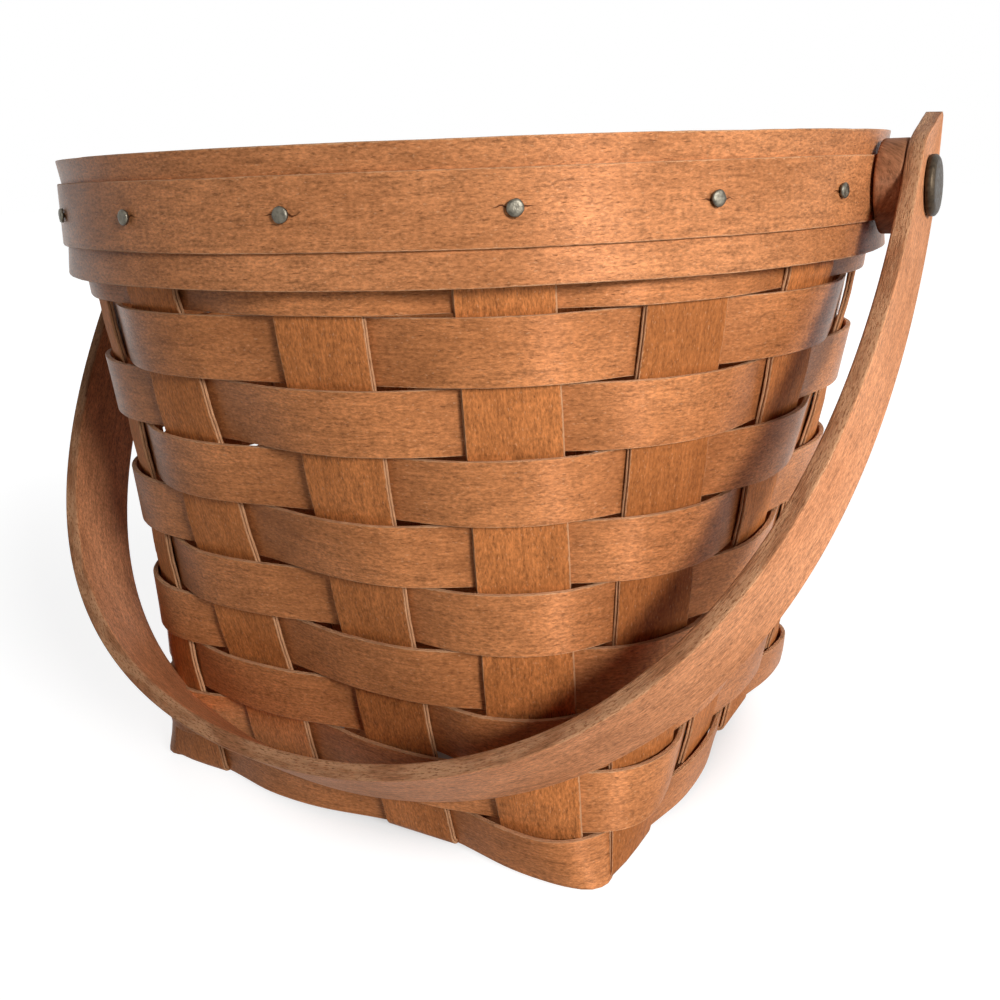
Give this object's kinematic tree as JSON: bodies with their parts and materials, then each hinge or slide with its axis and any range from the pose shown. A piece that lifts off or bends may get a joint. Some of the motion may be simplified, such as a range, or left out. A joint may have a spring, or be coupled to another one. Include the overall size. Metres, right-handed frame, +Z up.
{
  "type": "swing handle basket",
  "caption": "Woven splint basket, square at the base and round at the rim, with nailed rim bands and a bent wooden bail that swings on two rivets.",
  "frame": {"origin": "on the floor, at the middle of the basket's square base", "axes": "+Z up, +X from the left rivet to the right rivet along the bail's pivot axis, and the bail hangs down towards -Y"},
  "size_m": [0.2534, 0.2276, 0.1767],
  "materials": {
    "stake_splint": "stained splint, satin",
    "weaver_splint": "stained splint, satin",
    "rim_wood": "stained wood, satin",
    "handle_wood": "stained wood, worn satin",
    "spacer_wood": "stained wood, satin",
    "tack_steel": "dulled steel",
    "rivet_metal": "darkened, matt"
  },
  "bodies": {
    "basket": {"stake_front_back_1": "stake_splint", "stake_front_back_2": "stake_splint", "stake_front_back_3": "stake_splint", "stake_front_back_4": "stake_splint", "stake_left_right_1": "stake_splint", "stake_left_right_2": "stake_splint", "stake_left_right_3": "stake_splint", "stake_left_right_4": "stake_splint", "weaver_01": "weaver_splint", "weaver_02": "weaver_splint", "weaver_03": "weaver_splint", "weaver_04": "weaver_splint", "weaver_05": "weaver_splint", "weaver_06": "weaver_splint", "weaver_07": "weaver_splint", "weaver_08": "weaver_splint", "weaver_09": "weaver_splint", "weaver_10": "weaver_splint", "rim_wide_band": "rim_wood", "rim_outer_band": "rim_wood", "rim_inner_band": "rim_wood", "tack_01": "tack_steel", "tack_02": "tack_steel", "tack_03": "tack_steel", "tack_04": "tack_steel", "tack_05": "tack_steel", "tack_06": "tack_steel", "tack_07": "tack_steel", "tack_08": "tack_steel", "tack_09": "tack_steel", "tack_10": "tack_steel", "tack_11": "tack_steel", "tack_12": "tack_steel", "tack_13": "tack_steel", "tack_14": "tack_steel", "tack_15": "tack_steel", "tack_16": "tack_steel", "spacer_left": "spacer_wood", "spacer_right": "spacer_wood", "rivet_left": "rivet_metal", "rivet_right": "rivet_metal", "rivet_washer_left": "rivet_metal", "rivet_washer_right": "rivet_metal"},
    "handle": {"swing_handle": "handle_wood"}
  },
  "joints": [
    {"name": "handle_swing", "type": "hinge", "parent": "basket", "child": "handle", "pos_m": [0, 0, 0.15955], "axis": [-1, 0, 0], "range_deg": [0, 287.5]}
  ]
}
